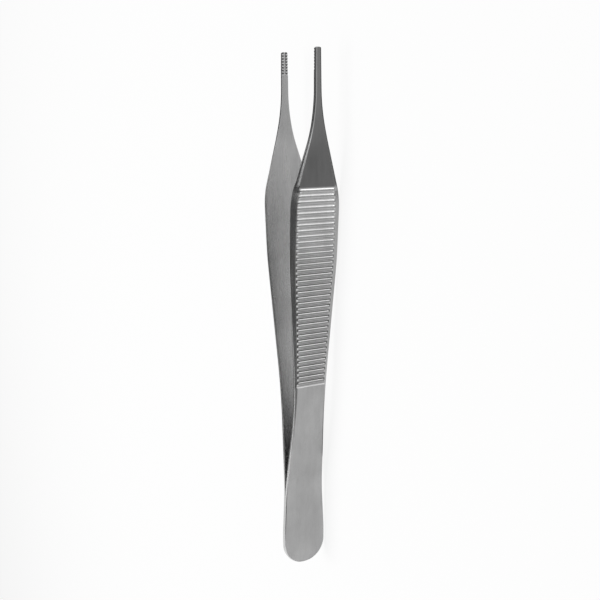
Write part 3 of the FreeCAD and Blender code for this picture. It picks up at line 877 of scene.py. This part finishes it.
def add_plate(name, wide, high, matrix, material):
    """A flat sheet in its place, part of the stage."""
    mesh = bpy.data.meshes.new(name)
    corners = [(-wide, -high), (wide, -high), (wide, high), (-wide, high)]
    mesh.from_pydata([matrix @ Vector((x / 2, y / 2, 0)) for x, y in corners], [], [(0, 1, 2, 3)])
    mesh.materials.append(material)
    plate = bpy.data.objects.new(name, mesh)
    bpy.context.scene.collection.objects.link(plate)
    return plate


def add_card(name, level, wide, high, matrix):
    """A sheet that shows in the steel's reflections and nowhere else."""
    card = add_plate(name, wide, high, matrix, card_material(name, level))
    card.visible_camera = False
    card.visible_diffuse = False
    card.visible_transmission = False
    card.visible_shadow = False


def add_far_card(name, level, towards, *degrees):
    """A card in the given direction from the object's middle, so many degrees wide and high: each side is
    twice the distance times the tangent of half its angle."""
    middle = Vector((0.0, 0.0, EDGE_TO_AXIS * MM))
    place = middle + Vector(towards).normalized() * CARD_DISTANCE
    wide, high = (2 * CARD_DISTANCE * math.tan(math.radians(angle) / 2) for angle in degrees)
    add_card(name, level, wide, high, facing(place, middle))


def add_gap_shade():
    """A dark card that paints the floor's shade in the narrow gap between the arms into the steel's
    reflections; it grows dark towards the weld.
    """
    start, end = GAP_SHADE[2:]
    place = Matrix.Translation(((start + end) / 2, 0.0, GAP_SHADE_HEIGHT * MM))
    add_card("gap_shade", GAP_SHADE, end - start, GAP_SHADE_WIDTH * MM, place)


def add_lamp(name, power, place, towards):
    """A square lamp that doesn't show in the steel."""
    lamp = bpy.data.lights.new(name, "AREA")
    lamp.shape = "RECTANGLE"
    lamp.size = lamp.size_y = LAMP_SIZE
    lamp.energy = power
    thing = bpy.data.objects.new(name, lamp)
    thing.matrix_world = facing(place, towards)
    thing.visible_glossy = False
    bpy.context.scene.collection.objects.link(thing)


def world_light(stage):
    """White all round where it is seen, and a lower, even light elsewhere."""
    world = bpy.data.worlds.new("pale_studio")
    world.use_nodes = True
    make = NodeMaker(world.node_tree)
    shaders = []
    for strength in (stage.world_light, 1.0):
        light = make.add("ShaderNodeBackground")
        light.inputs["Strength"].default_value = strength
        light.inputs["Color"].default_value = WHITE
        shaders.append(light.outputs["Background"])
    make.surface(make.blend(seen_directly(make), *shaders), "ShaderNodeOutputWorld")
    bpy.context.scene.world = world


def add_camera():
    """The photograph's view: from the front, above and a little towards the tips, close enough for the
    heel to look nearer than the far tip. Its axes are made square by two cross products."""
    camera = bpy.data.cameras.new("photo_view")
    camera.sensor_width = 36.0
    camera.lens = CAMERA_LENS
    camera.clip_start = 0.01
    camera.clip_end = 10.0
    thing = bpy.data.objects.new("photo_view", camera)
    back = Vector(CAMERA_BACK).normalized()
    up = back.cross(Vector(CAMERA_RIGHT).normalized()).normalized()
    turn = Matrix((up.cross(back), up, back)).transposed().to_4x4()
    thing.matrix_world = Matrix.Translation(CAMERA_PLACE) @ turn
    bpy.context.scene.collection.objects.link(thing)
    bpy.context.scene.camera = thing


class FORCEPS_OT_arms(bpy.types.Operator):
    """Make both arms as ground steel, each in place of its plain solid"""

    bl_idname = "forceps.arms"
    bl_label = "Make the arms"

    def execute(self, context):
        size = in_mm(context.scene.forceps_sizes)
        steel = steel_material(context.scene.forceps_finish)
        add_arm("rear_arm_steel", "rear_arm", size, 1.0, 0.0, steel)
        add_arm("front_arm_steel", "front_arm", size, -1.0, 0.5, steel)
        return {"FINISHED"}


class FORCEPS_OT_stage(bpy.types.Operator):
    """Make the floor, the lamp, the cards that show in the steel, the world and the camera"""

    bl_idname = "forceps.stage"
    bl_label = "Make the stage"

    def execute(self, context):
        stage = context.scene.forceps_stage
        context.scene.view_settings.view_transform = "Standard"
        world_light(stage)
        floor = add_plate("floor", FLOOR_SIZE, FLOOR_SIZE, Matrix.Identity(4), floor_material(stage))
        floor.visible_glossy = False
        floor.visible_shadow = False
        add_lamp("key_lamp", stage.key_power, LAMP_PLACE, (0.0, 0.0, 0.0))
        for card in CARDS:
            add_far_card(*card)
        add_gap_shade()
        add_camera()
        return {"FINISHED"}


class FORCEPS_PT_panel(bpy.types.Panel):
    """The forceps' pieces, sizes and finish"""

    bl_idname = "FORCEPS_PT_panel"
    bl_label = "Thumb forceps"
    bl_space_type = "VIEW_3D"
    bl_region_type = "UI"
    bl_category = "Forceps"

    def draw(self, context):
        layout = self.layout
        layout.operator(FORCEPS_OT_arms.bl_idname)
        layout.operator(FORCEPS_OT_stage.bl_idname)
        for group in ("forceps_sizes", "forceps_finish", "forceps_stage"):
            box = layout.box()
            settings = getattr(context.scene, group)
            for name in settings.__annotations__:
                box.prop(settings, name)


CLASSES = (ForcepsArmSizes, ForcepsFinish, ForcepsStage, FORCEPS_OT_arms, FORCEPS_OT_stage, FORCEPS_PT_panel)


def register():
    for each in CLASSES:
        bpy.utils.register_class(each)
    bpy.types.Scene.forceps_sizes = PointerProperty(type=ForcepsArmSizes)
    bpy.types.Scene.forceps_finish = PointerProperty(type=ForcepsFinish)
    bpy.types.Scene.forceps_stage = PointerProperty(type=ForcepsStage)


def unregister():
    del bpy.types.Scene.forceps_stage
    del bpy.types.Scene.forceps_finish
    del bpy.types.Scene.forceps_sizes
    for each in reversed(CLASSES):
        bpy.utils.unregister_class(each)


def main():
    """Make every piece and the stage."""
    register()
    bpy.ops.forceps.arms()
    bpy.ops.forceps.stage()


if __name__ == "__main__":
    main()
